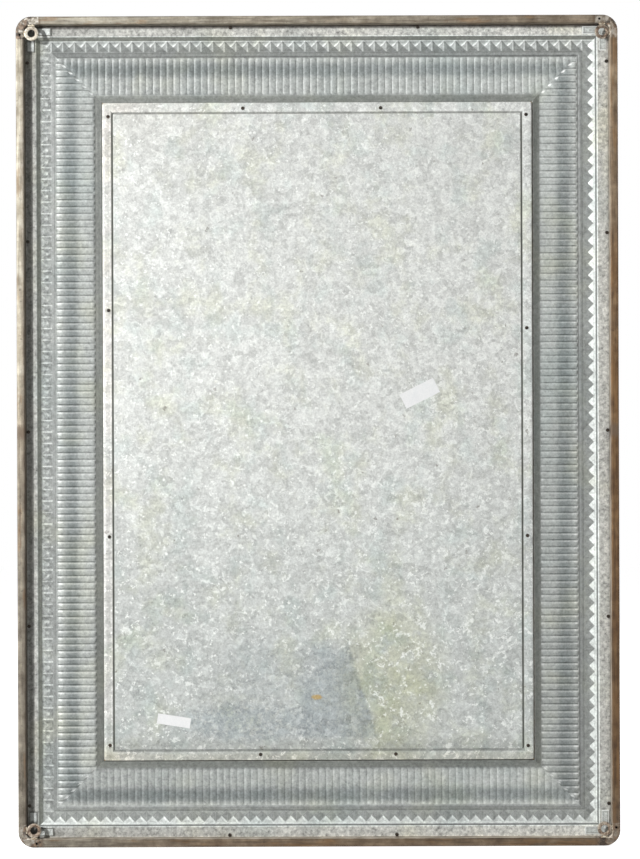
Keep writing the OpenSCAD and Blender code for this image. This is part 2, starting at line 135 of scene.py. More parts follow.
class Finish(Wiring):
    """A procedural material for one finish of the mirror, on one Principled shader."""

    def __init__(self, name, **constants):
        self.material = bpy.data.materials.new(name)
        self.material.use_nodes = True
        super().__init__(self.material.node_tree)
        self.shader = self.tree.nodes["Principled BSDF"]
        for key, value in constants.items():
            self.shader.inputs[key.replace("_", " ")].default_value = value
        self.at = self.node("ShaderNodeTexCoord").out("Object")

    def split(self, vector):
        parts = self.node("ShaderNodeSeparateXYZ", {}, {0: vector})
        return parts, parts.out("Y"), parts.out("Z")

    def stretched(self, x, y, z):
        return self.node("ShaderNodeVectorMath", {"operation": "MULTIPLY"}, {0: self.at, 1: (x, y, z)})

    def clouds(self, scale, detail=3.0, roughness=0.55, where=None):
        return self.node(
            "ShaderNodeTexNoise", {},
            {"Vector": where or self.at, "Scale": scale, "Detail": detail, "Roughness": roughness},
        )

    def streaks(self, upright, scale, length=0.06):
        """Scratches that run along the sides of the frame."""
        rising = self.clouds(scale, 4.0, 0.65, self.stretched(1.0, 1.0, length))
        level = self.clouds(scale, 4.0, 0.65, self.stretched(length, 1.0, 1.0))
        return rising * upright + level * (1.0 - upright)

    def flakes(self, scale, where=None):
        """Three even random values, each the same all over a flake."""
        cells = self.node("ShaderNodeTexVoronoi", {}, {"Vector": where or self.at, "Scale": scale})
        return self.split(cells.out("Color"))

    def mix(self, share, first, second, blend="MIX"):
        made = self.node(
            "ShaderNodeMix", {"data_type": "RGBA", "blend_type": blend},
            {0: share, 6: first, 7: second},
        )
        return made.out(2)

    def tint(self, share, tone, by):
        """The tone multiplied by a colour, a number or a wire, as far as the share goes."""
        return self.mix(share, tone, (by, by, by, 1.0) if isinstance(by, float) else by, "MULTIPLY")

    def tones(self, value, stops):
        return self.node("ShaderNodeValToRGB", {"stops": stops}, {0: value})

    def feed(self, **wires):
        for key, wire in wires.items():
            self.tree.links.new(wire.socket, self.shader.inputs[key.replace("_", " ")])

    def relief(self, height, depth_mm, strength=1.0):
        bump = self.node(
            "ShaderNodeBump", {}, {"Strength": strength, "Distance": depth_mm * MM, "Height": height}
        )
        self.feed(Normal=bump)

    def cover(self, *names):
        """Finish of CAD nodes that keep their own shape."""
        for name in names:
            nodes[name].data.materials.clear()
            nodes[name].data.materials.append(self.material)


def edge_inset(finish):
    """Millimetres in from the frame's outer edge, 1 on the upright sides, and x and z."""
    x, z = finish.split(finish.at)[::2]
    beside = FRAME_W / 2 - x.size() * MM_PER_M
    over = FRAME_H / 2 - z.size() * MM_PER_M
    return beside.least(over), over.above(beside), x, z


def ease_edges(names, width_mm, degrees=30):
    for name in names:
        rounding = nodes[name].modifiers.new("rounded_edges", "BEVEL")
        rounding.width, rounding.segments = width_mm * MM, 2
        rounding.limit_method, rounding.angle_limit = "ANGLE", math.radians(degrees)


def rail_finish(name, corner=False):
    steel = Finish(name, Metallic=0.35, Specular_IOR_Level=0.4)
    inset, upright, x, z = edge_inset(steel)
    level = 1.0 - upright
    blotch = steel.clouds(60.0, 5.0, 0.7)
    streak = steel.streaks(upright, 330.0)
    fleck = steel.clouds(260.0, 4.0, 0.7)
    # Pale at the top right of the frame, partly painted light, brown at the lower left, grey below
    pale = (x * 1.1 + z * 0.95 + 0.34 + (steel.clouds(9.0, 4.0, 0.6) - 0.5) * 0.9).least(1.0).most(0.0)
    brown = steel.tones(blotch, [
        (0.32, (0.080, 0.042, 0.018)), (0.50, (0.140, 0.080, 0.036)), (0.68, (0.220, 0.140, 0.072)),
    ])
    beige = steel.tones(blotch, [
        (0.32, (0.190, 0.166, 0.126)), (0.48, (0.290, 0.264, 0.210)), (0.66, (0.415, 0.390, 0.326)),
    ])
    grey = steel.tones(blotch, [(0.34, (0.085, 0.073, 0.055)), (0.66, (0.265, 0.240, 0.195))])
    tone = steel.mix(pale, brown, beige)
    # The right rail is painted lighter still: painted light
    tone = steel.tint(x.rise(0.28, 0.34) * upright, tone, 1.25)
    tone = steel.mix(z.fall(-0.24, 0.12) * x.rise(0.12, 0.32) * 0.90, tone, grey)
    tone = steel.mix(z.fall(-0.48, -0.42) * 0.35, tone, grey)
    tone = steel.tint(level, tone, 0.88)
    # Rust, scratches and flecks, and grime with painted shade towards the inner edge, more on the right
    # rail
    rusty = steel.streaks(upright, 60.0, 0.25).rise(0.54, 0.64)
    tone = steel.mix(rusty * 0.5, tone, (0.205, 0.118, 0.052, 1.0))
    scratched = steel.tones(streak, [
        (0.36, (0.42, 0.38, 0.33)), (0.50, (1.0, 1.0, 1.0)), (0.62, (1.35, 1.33, 1.28)),
    ])
    tone = steel.tint(0.65, tone, scratched)
    tone = steel.mix(fleck.rise(0.60, 0.70) * 0.6, tone, (0.045, 0.028, 0.018, 1.0))
    grime_and_shade = inset.rise(3.5, 9.5) * (0.10 + x.rise(0.30, 0.36) * 0.35) + inset.rise(8.8, 9.8) * 0.12
    tone = steel.mix(grime_and_shade, tone, (0.060, 0.042, 0.030, 1.0))
    # The left and bottom rails are browner. Painted light makes the left rail lighter towards the top
    # and the bottom rail lighter towards the right, and their inner faces carry painted highlights
    browned_with_painted_light = (x * upright + z * level).fall(-0.01, 0.01)
    tone = steel.tint(browned_with_painted_light, tone, 0.96 - upright * (0.05 - z * 0.45) + x * level * 0.3)
    tone = steel.tint(browned_with_painted_light * upright, tone, (0.96, 0.92, 0.86, 1.0))
    inner_face_highlight = steel.tones(streak * 0.6 + blotch * 0.4, [
        (0.40, (0.240, 0.190, 0.140)), (0.50, (0.560, 0.490, 0.400)), (0.60, (0.820, 0.760, 0.660)),
    ])
    tone = steel.mix(inset.rise(9.5, 9.95) * browned_with_painted_light * (0.85 - upright * 0.2), tone, inner_face_highlight)
    if corner:
        cream = steel.tones(steel.clouds(170.0, 4.0, 0.7), [
            (0.40, (0.120, 0.098, 0.075)), (0.50, (0.380, 0.350, 0.300)), (0.60, (0.680, 0.650, 0.580)),
        ])
        rust = steel.tones(steel.clouds(210.0, 3.0), [
            (0.42, (0.022, 0.014, 0.010)), (0.58, (0.165, 0.105, 0.065)),
        ])
        # Cream burnt zinc, more of it where the rails are painted pale
        tone = steel.mix(pale * 0.6 + 0.2, tone, cream)
        tone = steel.mix(steel.clouds(130.0, 4.0, 0.7).rise(0.48, 0.56) * 0.85, tone, rust)
    else:
        weld = (z.size() + (fleck - 0.5) * 0.02).fall(0.003, 0.012)
        tone = steel.mix(weld * x.size().rise(0.30, 0.34) * 0.75, tone, (0.120, 0.085, 0.058, 1.0))
        seam = (x.size() - (FRAME_W / 2 - CORNER_REACH) * MM).size().fall(0.001, 0.004)
        tone = steel.mix(seam * z.size().rise(0.45, 0.49) * 0.6, tone, (0.10, 0.065, 0.040, 1.0))
    steel.feed(Base_Color=tone, Roughness=0.42 + blotch * 0.22)
    steel.relief(blotch * 0.4 + streak * 0.4 + fleck * 0.3, 0.35, 0.7)
    return steel


tubes = (
    "rail_left_upper", "rail_left_lower", "rail_right_upper", "rail_right_lower",
    "rail_top", "rail_bottom",
)
bends = "corner_top_left", "corner_top_right", "corner_bottom_left", "corner_bottom_right"
rail_finish("tube_steel").cover(*tubes)
rail_finish("corner_steel", corner=True).cover(*bends)
ease_edges(tubes + bends, 0.8, 60)

# Ledge bars
# Mitred flat bars of the same steel, welded inside the rail on the room side of the tin. The
# screws through the flat strip of the tin bite into them.
rail_finish("bar_steel").cover("ledge_left", "ledge_right", "ledge_top", "ledge_bottom")

# Mouldings
# Four lengths of thin galvanised sheet, pressed between dies with a flat strip, a row of
# pyramids, a bead, closed flutes and a gutter up to a ridge, and mitred at the corners.
WALL_Y = 12.5
TIN = 0.8
STRIP_IN, MITRE_IN, RISER_IN, PYRAMID_IN, BEAD_IN = 10.3, 13.64, 23.5, 28.0, 41.5
FLUTE_IN, GUTTER_IN, RIDGE_IN, RIM_IN, SIGHT_IN = 48.2, 95.0, 101.6, 104.2, 126.2
STRIP_DEPTH, PYRAMID_DEPTH, RIDGE_DEPTH, RIM_DEPTH = 14.0, 18.5, 15.9, 19.0
STRIP_CUT, MITRE_CLEAR = 18.0, 0.25
PYRAMID_PITCH, PYRAMID_H, PYRAMID_HALF, PYRAMID_LAND, BLUNT = 14.1, 3.2, 6.75, 0.45, 0.5
FLUTE_PITCH, FLUTE_HALF, FLUTE_H, LOW_FLUTE_H, FLUTE_LAND = 8.4, 4.05, 1.9, 0.798, 2.0
# Width and height along the riser and over the bead
RISER_SECTION = (-0.7, 0.0), (0.0, 0.2), (0.7, 0.8), (2.25, 2.25), (3.8, 3.7), (4.5, 4.3)
BEAD_SECTION = (
    (0.6, 0.12), (1.3, 0.55), (2.1, 0.95), (3.0, 1.1), (3.9, 0.95), (4.7, 0.55), (5.5, 0.12), (6.1, 0.0),
)
FLUTE_STEPS = (-0.5, -0.46, -0.42, -0.33, -0.18, 0.0, 0.18, 0.33, 0.42, 0.46)
FLUTE_INSETS = (
    48.2, 48.35, 48.8, 49.5, 50.5, 52.1, 54.2, 56.4, 58.6, 60.8, 63.0, 65.2, 67.4, 69.6, 71.8,
    74.0, 76.2, 78.4, 80.6, 82.8, 85.0, 87.2, 89.2, 91.1, 92.7, 93.7, 94.4, 94.85, 95.0,
)


def place(across, up, depth):
    """A point in metres from millimetres across, up and in from the wall plane."""
    return Vector((across, WALL_Y - depth, up)) * MM


def piece(name, points, faces, finish, replaced, flat=(), crease=50):
    """A mesh piece, smooth but for the faces that are named flat and edges past the crease."""
    mesh = bpy.data.meshes.new(name)
    mesh.from_pydata(points, [], faces)
    mesh.validate()
    mesh.update()
    mesh.set_sharp_from_angle(angle=math.radians(crease))
    mesh.polygons.foreach_set("use_smooth", [k not in flat for k in range(len(mesh.polygons))])
    mesh.materials.append(finish.material)
    made = bpy.data.objects.new(name, mesh)
    bpy.context.scene.collection.objects.link(made)
    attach(made, "root")
    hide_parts(*replaced)


def zinc_tone(value, red=0.955, blue=0.965):
    """Grey of dull zinc, which leans to green; the shares are of its green."""
    return (value * red, value, value * blue, 1.0)


def flute_swell(off_crest, to_end):
    """Height of a closed flute as a share: a pillow with steep sides, round in plan at its end."""
    out = min(1.0, math.hypot(off_crest, max(0.0, FLUTE_HALF - to_end)) / FLUTE_HALF)
    return 0.40 * (1 - out ** 6) ** 0.5 + 0.60 * (1 - out ** 2)


def plain_row(run, inset, depth, between=()):
    """Points from mitre to mitre at one inset and depth, with some between the two."""
    end = run / 2 - inset
    return [(t, inset, depth) for t in (-end, *between, end)]


def flute_row(run, inset):
    half = run / 2 - inset
    tall = FLUTE_H if run == FRAME_H else LOW_FLUTE_H
    row = [(-half, inset, PYRAMID_DEPTH)]
    last = int(half / FLUTE_PITCH) + 1
    for k in range(-last, last + 1):
        crest = (k + 0.5) * FLUTE_PITCH
        to_end = min(inset - FLUTE_IN, GUTTER_IN - inset, half - abs(crest) - FLUTE_LAND)
        for step in FLUTE_STEPS:
            t = crest + step * FLUTE_PITCH
            if abs(t) < half - MITRE_CLEAR:
                height = tall * flute_swell(abs(step) * FLUTE_PITCH, to_end)
                row.append((t, inset, PYRAMID_DEPTH - height))
    return row + [(half, inset, PYRAMID_DEPTH)]


def pyramid_pitch(run):
    """The pitch that fits a whole number of pyramids between the mitres."""
    return (run - 2 * BEAD_IN) / round((run - 2 * BEAD_IN) / PYRAMID_PITCH)


def moulding_rows(run, gap, lift):
    """Rows of points across one side of the sheet, and which of them has the peaks."""
    cut = run / 2 - STRIP_CUT
    rows = [
        [(-cut, STRIP_IN, STRIP_DEPTH), (cut, STRIP_IN, STRIP_DEPTH)],
        plain_row(run, MITRE_IN, STRIP_DEPTH),
    ]
    rows += [plain_row(run, RISER_IN + w, STRIP_DEPTH + d) for w, d in RISER_SECTION]
    pitch = pyramid_pitch(run)
    starts = [-(run / 2 - BEAD_IN) + k * pitch for k in range(round((run - 2 * BEAD_IN) / pitch))]
    corners = [t for a in starts for t in (a + BLUNT, a + pitch - BLUNT)]
    peaks = [a + pitch / 2 for a in starts]
    peak_row = len(rows) + 1
    rows += [
        plain_row(run, PYRAMID_IN + PYRAMID_LAND, PYRAMID_DEPTH, corners),
        plain_row(run, PYRAMID_IN + PYRAMID_HALF, PYRAMID_DEPTH + PYRAMID_H, peaks),
        plain_row(run, BEAD_IN - PYRAMID_LAND, PYRAMID_DEPTH, corners),
    ]
    rows += [plain_row(run, BEAD_IN + w, PYRAMID_DEPTH - d) for w, d in BEAD_SECTION]
    rows += [flute_row(run, inset) for inset in FLUTE_INSETS]
    rows += [
        plain_row(run, GUTTER_IN + 1.4, PYRAMID_DEPTH - 0.15),
        plain_row(run, GUTTER_IN + 3.0, PYRAMID_DEPTH - 0.8),
        plain_row(run, RIDGE_IN - 0.6, RIDGE_DEPTH + 0.25),
        plain_row(run, RIDGE_IN + 0.1, RIDGE_DEPTH),
        plain_row(run, RIM_IN - gap - lift * 0.6, RIDGE_DEPTH),
        plain_row(run, RIM_IN - lift * 0.6, RIM_DEPTH),
        plain_row(run, SIGHT_IN, RIM_DEPTH),
    ]
    return rows, peak_row, len(starts)


def stitched(outer, inner, o, i):
    """Triangles between two rows of points that run the same way."""
    a = b = 0
    while a + b < len(outer) + len(inner) - 2:
        forward = b == len(inner) - 1 or (a < len(outer) - 1 and outer[a + 1][0] <= inner[b + 1][0])
        yield (o + a, i + b, o + a + 1) if forward else (o + a, i + b, i + b + 1)
        a, b = (a + 1, b) if forward else (a, b + 1)


def pyramid_faces(count, outer, peak, inner):
    """Four faces to a pyramid, a flat ridge to the next one, and a half pyramid at each mitre."""
    left, right = outer + 1, outer + 2 * count
    yield from ((outer, peak, left), (left, peak, inner + 1), (inner + 1, peak, inner))
    for k in range(count):
        a, p, c = outer + 1 + 2 * k, peak + 1 + k, inner + 1 + 2 * k
        b, d = a + 1, c + 1
        yield from ((a, p, b), (b, p, d), (d, p, c), (c, p, a))
        if k < count - 1:
            yield (b, d, c + 2, a + 2)
    last, low = peak + 1 + count, inner + 2 * count
    yield from ((right, last, right + 1), (low, last, right), (low + 1, last, low))


def moulding(name, run, half, turn, gap, finish):
    """One length of pressed sheet: the wall side, the room side and the cut edges."""
    rows, peak_row, count = moulding_rows(run, gap, 0.0)
    starts = [sum(len(row) for row in rows[:r]) for r in range(len(rows) + 1)]
    total, last = starts[-1], len(rows) - 1
    back, flat = [], set()
    for r in range(last):
        if r == peak_row - 1:
            first = len(back)
            back += list(pyramid_faces(count, starts[r], starts[r + 1], starts[r + 2]))
            flat |= set(range(first, len(back)))
        elif r != peak_row:
            back += list(stitched(rows[r], rows[r + 1], starts[r], starts[r + 1]))
    front = [tuple(v + total for v in reversed(face)) for face in back]
    flat |= {f + len(back) for f in flat}
    edges = [(0, 1, 1 + total, total), (total - 1, total - 2, 2 * total - 2, 2 * total - 1)]
    for r in range(last):
        a, b, c, d = starts[r], starts[r + 1], starts[r + 1] - 1, starts[r + 2] - 1
        edges += [(b, a, a + total, b + total), (c, d, d + total, c + total)]
    points = []
    for lift in (0.0, TIN):
        for row in moulding_rows(run, gap, lift)[0]:
            for t, inset, depth in row:
                up = half - inset
                across, up = {0: (t, up), 90: (-up, t), 180: (-t, -up), 270: (up, -t)}[turn]
                points.append(place(across, up, depth + lift))
    faces = [tuple(reversed(face)) for face in back + front + edges]
    piece("pressed_tin_" + name, points, faces, finish, ["moulding_" + name], flat, 60)


# The zinc has a blue-grey band of patina and painted shade across the flutes, and painted shade in the
# grooves and in the gutter. The top and right lengths, on the lamp's side, carry painted light and
# shade unlike the bottom and left ones.
tin = Finish("pressed_zinc", Metallic=0.06, Specular_IOR_Level=0.25)
inset, upright, x, z = edge_inset(tin)
level = 1.0 - upright
run = (z * upright + x * level) * MM_PER_M
lamp_side = (x * upright + z * level).above(0.0)
away_side = 1.0 - lamp_side
on_top, on_right, on_bottom, on_left = level * lamp_side, upright * lamp_side, level * away_side, upright * away_side
wave = tin.clouds(30.0, 4.0, 0.6)
# Inset with a wavy edge for the blue-grey band of patina and painted shade across the flutes
worn = inset + (wave - 0.5) * 5.0 + upright * 2.0 + level * 6.0 - on_top * 2.4
TONED_WIDTH = 130.0
# Tones from the outer edge in: the light and dark lines at the riser, the dark bead and the dark gutter
# are painted light and shade
zinc = tin.tones((inset - on_left * inset.band(20.0, 22.0, 28.0, 30.0)) * (1 / TONED_WIDTH), [
    (across / TONED_WIDTH, zinc_tone(*tone)) for across, *tone in (
        (0.0, 0.60, 1.0, 0.94), (22.36, 0.60, 1.0, 0.94), (22.62, 0.92), (23.40, 0.92), (23.92, 0.23),
        (25.22, 0.23), (25.87, 0.90), (27.95, 0.90), (28.21, 0.41), (40.95, 0.40), (42.25, 0.29),
        (44.20, 0.31), (48.10, 0.28), (48.75, 0.66), (54.60, 0.60), (92.30, 0.60), (94.12, 0.46),
        (95.68, 0.33, 0.95, 0.93), (104.0, 0.30, 0.95, 0.93), (105.56, 0.50), (TONED_WIDTH, 0.54),
    )
])
# Flat strip: painted light and shade by side, the rail's painted shadow beside the right rail and
# painted shade beside the left one, and painted shade on the riser of the top and right lengths
strip = inset.fall(23.0, 23.6)
painted_side_light = upright * (0.845 - x * (0.24 + z * 0.4)) + level * (0.957 - x * 0.75 + z * 0.04)
zinc = tin.tint(strip, zinc, painted_side_light)
rail_shadow = (inset.band(10.0, 13.5, 15.8, 17.6) * x.rise(0.30, 0.34) * 0.55).most(
    inset.fall(11.0, 14.0) * on_left * 0.30
)
zinc = tin.mix(rail_shadow, zinc, (0.12, 0.12, 0.105, 1.0))
riser = inset.band(23.0, 23.8, 27.6, 28.2).most(inset.band(22.2, 23.4, 30.2, 31.8) * upright * 0.85)
zinc = tin.mix(riser * lamp_side, zinc, zinc_tone(0.29, 0.96, 0.90))
painted_side_light = level * 0.85 + upright * (1.06 - z * 0.4) * (1.0 + inset.rise(25.0, 27.0) * 0.25)
zinc = tin.tint(riser * lamp_side, zinc, painted_side_light)
# Painted shadow of the top rail on the strip, and painted light beside the bottom rail
zinc = tin.mix(inset.fall(12.0, 15.0) * on_top * 0.85, zinc, (0.06, 0.05, 0.045, 1.0))
zinc = tin.tint(inset.fall(10.4, 12.4) * on_bottom, zinc, (1.30, 1.28, 1.26, 1.0))
# The pyramids carry painted light and shade: outer faces painted bright, inner faces painted dark,
# the right half of each on the top and bottom painted darker, painted highlights along edges and
# joints, darker across the top towards the right, and lighter at each apex of the right length
half_pitch = upright * (pyramid_pitch(FRAME_H) / 2) + level * (pyramid_pitch(FRAME_W) / 2)
phase = run.math("WRAP", run, half_pitch, half_pitch * -1.0)
from_joint = phase.size() * (2 * PYRAMID_HALF / pyramid_pitch(FRAME_H))
from_peak = inset - (PYRAMID_IN + PYRAMID_HALF)
pyramid = inset.band(27.8, 28.2, 41.0, 41.6)
outer = from_joint - from_peak - PYRAMID_HALF + (on_left - on_bottom) * 0.8
inner = from_joint + from_peak - PYRAMID_HALF
right_half = phase.above(0.0)
zinc = tin.mix(pyramid * level, zinc, tin.mix(right_half, zinc_tone(0.48), zinc_tone(0.30)))
lit_face = tin.mix(on_left, zinc_tone(0.70), zinc_tone(0.86))
zinc = tin.mix(pyramid * outer.rise(-0.3, 0.3), zinc, lit_face)
shaded_face = tin.mix(lamp_side, zinc_tone(0.52), zinc_tone(0.33))
zinc = tin.mix(pyramid * inner.rise(-0.3, 0.3), zinc, shaded_face)
arris_highlight = outer.size().fall(0.7, 2.2) * level * right_half * from_peak.fall(-0.5, 0.5)
joint_highlight = from_joint.fall(0.4, 1.3) * lamp_side * (0.5 + upright * 0.2)
zinc = tin.mix(pyramid * arris_highlight.most(joint_highlight) * 0.85, zinc, zinc_tone(0.95))
zinc = tin.tint(pyramid * on_top, zinc, 1.0 - x * 0.3)
off_crown = half_pitch - phase.size()
crown = (off_crown * off_crown + from_peak * from_peak).fall(0.6, 9.0) * on_right
zinc = tin.mix(pyramid * crown * 0.5, zinc, zinc_tone(0.90))
# Painted light and shade at the feet of the pyramids and over the bead, set against the bead's own
# shading, and lighter towards the top on the left length
for share, by in (
    ((from_peak + 5.0).size().fall(0.4, 1.2) * on_top, 0.72),
    (pyramid * on_right, 0.91),
    (inset.band(26.8, 27.4, 28.6, 30.2) * on_right, (0.70, 0.70, 0.69, 1.0)),
    (inset.band(29.0, 29.8, 31.4, 32.4) * on_top, 0.82),
    (inset.band(27.6, 28.2, 28.8, 29.8) * on_left, 0.84),
    (inset.band(42.0, 43.2, 47.6, 48.4) * on_left,
     1.0 + (45.3 - inset) * 0.23 + inset.rise(47.2, 48.0) * 0.35),
    (inset.band(42.4, 43.0, 44.2, 45.0) * on_bottom, (1.12, 1.12, 1.10, 1.0)),
    (inset.band(42.0, 43.0, 45.6, 46.6) * on_top, 1.06 - x * 0.6),
    (inset.rise(35.0, 36.0) * on_left, 1.0 + z * 0.2),
):
    zinc = tin.tint(share, zinc, by)
# Painted light and shade at the foot of the bead, where the flutes begin. Painted shade in the gutter
# and at the inner ends of the flutes, and painted light on the lip by the plate on the left length
foot = inset.band(45.0, 46.0, 48.2, 49.2)
bead_foot_light_shade = (foot * on_right).most(foot * inset.rise(46.0, 47.0) * on_bottom * 0.40)
zinc = tin.mix(bead_foot_light_shade, zinc, zinc_tone(0.62))
zinc = tin.tint(inset.band(46.2, 47.2, 48.8, 50.0) * on_top, zinc, 0.66)
gutter = inset.band(93.5, 96.0, 104.0, 105.0)
gutter_shade = gutter * (upright * (0.54 + x * 0.8) + level * (0.15 - z * 0.30))
zinc = tin.mix(gutter_shade, zinc, (0.10, 0.105, 0.095, 1.0))
zinc = tin.tint(inset.band(90.0, 94.0, 95.0, 96.5) * (away_side + on_right * 0.45), zinc, 0.74)
zinc = tin.mix(inset.rise(102.4, 103.0) * on_left, zinc, zinc_tone(0.92))
# Dirt and painted shade lie in the valleys between the flutes; painted highlights lie at the mitres and
# along one slope of each flute
SILT_AND_SHADE = (0.11, 0.125, 0.115, 1.0)
# Blue-grey band across the middle of the flutes: patina and painted shade
zinc = tin.mix(worn.band(53.0, 65.0, 70.0, 81.0) * (0.88 + x * 0.15), zinc, (0.285, 0.316, 0.312, 1.0))
fluted = (inset + on_right * 1.8).rise(FLUTE_IN, FLUTE_IN + 1.5) * inset.fall(GUTTER_IN - 1.5, GUTTER_IN)
end = inset.fall(50.5, 57.0)
off_valley = run.math("PINGPONG", run, FLUTE_PITCH / 2)
silt_and_shade = upright * (0.30 + end * (0.25 + lamp_side * 0.2)) + level * (0.05 + z * 0.10)
zinc = tin.mix(off_valley.fall(0.1, 1.1) * fluted * silt_and_shade, zinc, SILT_AND_SHADE)
# Painted light and shade on the flutes, varying by side
painted_side_light = upright * (0.865 - x * 0.05 + (0.35 - x) * z * 0.27) + level * (0.825 - x * (0.47 + z * 0.2))
zinc = tin.tint(fluted, zinc, painted_side_light)
# Painted light at the outer ends of the bottom flutes
zinc = tin.tint(fluted * end * on_bottom, zinc, (1.15, 1.14, 1.13, 1.0))
off_mitre = (x.size() * MM_PER_M - z.size() * MM_PER_M + (FRAME_H - FRAME_W) / 2).size()
# Painted highlights on the flute ends at the mitres
mitre_highlight = off_mitre.fall(2.6, 4.0) * off_valley.rise(2.6, 3.2) * (0.10 + upright)
mitre_highlight = mitre_highlight * (0.80 + z * 0.6 + x * 0.2) * inset.band(48.0, 51.0, 90.0, 94.0)
zinc = tin.mix(mitre_highlight.least(1.0), zinc, (0.98, 1.0, 0.98, 1.0))
from_crest = run.math("WRAP", run, FLUTE_PITCH / 2, -FLUTE_PITCH / 2)
# A second thin dark line on each side flute, near its crest: silt and painted shade
crease = (from_crest - 3.1).size().fall(0.2, 1.0) * fluted * upright
zinc = tin.mix(crease * (0.10 + end * 0.12), zinc, SILT_AND_SHADE)
# Painted highlight along one slope of each flute
flute_highlight = (from_crest + 1.9).size().fall(0.2, 1.4) * fluted
flute_highlight = flute_highlight * (upright * (0.24 + end * 0.45) + 0.06 + end * 0.14)
zinc = tin.mix(flute_highlight, zinc, (0.95, 0.97, 0.95, 1.0))
# Fine spangle, mottling and two thin films over all of it
spangle, gloss = tin.flakes(165.0)[:2]
mottle = tin.clouds(24.0, 4.0, 0.6)
blot = tin.clouds(230.0, 3.0, 0.6)
grain = tin.clouds(420.0, 4.0, 0.75)
patchy = strip * 0.9 + pyramid * on_right
shade = 0.83 + (spangle - 0.5) * 0.12 + (mottle - 0.5) * 0.40
shade = shade + (blot - 0.5) * (0.75 + patchy) + (grain - 0.5) * (0.95 + strip * 0.3)
zinc = tin.tint(1.0, zinc, shade)
zinc = tin.tint(tin.clouds(9.0, 4.0, 0.6).rise(0.48, 0.68) * 0.45, zinc, (0.80, 0.87, 0.88, 1.0))
zinc = tin.tint(tin.clouds(12.0, 3.0).rise(0.50, 0.72) * 0.55, zinc, (0.97, 0.95, 0.80, 1.0))
tin.feed(Base_Color=zinc, Roughness=0.40 + gloss * 0.16)
tin.relief(grain * 0.5 + mottle * 0.5, 0.15, 0.6)

for side, length, half, turn, gap in (
    ("top", FRAME_W, FRAME_H / 2, 0, 0.4), ("bottom", FRAME_W, FRAME_H / 2, 180, 1.2),
    ("left", FRAME_H, FRAME_W / 2, 90, 1.1), ("right", FRAME_H, FRAME_W / 2, 270, 0.3),
):
    moulding(side, length, half, turn, gap, tin)

# Corner braces
# Two-armed pieces of thicker zinc-coated sheet, laid over each mitre under the ring. Their cut
# edges carry painted shadow on the right braces and a painted highlight on the left ones, the left
# braces' arms have painted shadow along their outlines, and painted shadow lies under the ring
# on the right braces.
RING_IN = (19.2, 20.8)
ARM_IN, ARM_HALF, ARM_REACH = 17.0, 2.9, 39.6


def from_ring(x, z):
    """Square of the distance in metres from the nearest corner's ring."""
    off_x = x.size() - (FRAME_W / 2 - RING_IN[0]) * MM
    off_z = z.size() - (FRAME_H / 2 - RING_IN[1]) * MM
    return off_x * off_x + off_z * off_z


braces = "brace_top_left", "brace_top_right", "brace_bottom_left", "brace_bottom_right"
ease_edges(braces, 0.3)
tab = Finish("brace_zinc", Metallic=0.06, Specular_IOR_Level=0.25)
inset, _, x, z = edge_inset(tab)
specks = tab.clouds(280.0, 4.0, 0.75)
reach = (FRAME_W / 2 - x.size() * MM_PER_M).most(FRAME_H / 2 - z.size() * MM_PER_M)
# Cut edges: painted shadow on the right braces, painted highlight on the left ones
edge_light_and_shadow = (inset - ARM_IN).size().rise(3.4, 4.3).most(reach.rise(40.2, 41.4))
scale = tab.mix(
    edge_light_and_shadow * 0.85,
    tab.tones(specks, [(0.34, zinc_tone(0.34)), (0.60, zinc_tone(0.68)), (0.70, zinc_tone(0.80))]),
    tab.mix(x.rise(-0.1, 0.1), (0.80, 0.82, 0.80, 1.0), (0.075, 0.075, 0.062, 1.0)),
)
# Painted shadow along the arms' outlines on the left braces
outline_shadow = ((inset - ARM_IN).size() - ARM_HALF).size().least((reach - ARM_REACH).size())
outline_shadow = outline_shadow.fall(0.2, 0.7) * (1.0 - edge_light_and_shadow) * x.fall(-0.1, 0.1)
scale = tab.mix(outline_shadow * 0.6, scale, (0.22, 0.23, 0.21, 1.0))
# Painted shadow under the ring on the right braces
ring_shadow = from_ring(x, z).fall(4e-5, 1.5e-4) * x.rise(-0.1, 0.1)
tab.feed(
    Base_Color=tab.mix(ring_shadow * 0.85, scale, (0.045, 0.040, 0.032, 1.0)), Roughness=0.40 + specks * 0.2
)
tab.relief(specks, 0.15, 0.6)
tab.cover(*braces)

# Back plate
# Galvanised flat sheet over the glass and its board, with rolled edges and a groove pressed
# all round. Large spangle, a blue-grey stain and yellow film near the foot.
PLATE_IN, PLATE_DEPTH, GROOVE = 104.3, 13.2, 12.45


def rounded_loop(inset, radius, depth):
    """Rounded rectangle at an inset from the frame's edge."""
    w, h = FRAME_W / 2 - inset, FRAME_H / 2 - inset
    points = []
    for cx, cz, start in ((w, h, 0), (-w, h, 90), (-w, -h, 180), (w, -h, 270)):
        for step in range(7):
            a = math.radians(start + 15 * step)
            ox, oz = math.copysign(radius, cx), math.copysign(radius, cz)
            points.append((cx - ox + radius * math.cos(a), cz - oz + radius * math.sin(a)))
    return [place(px, pz, depth) for px, pz in points]


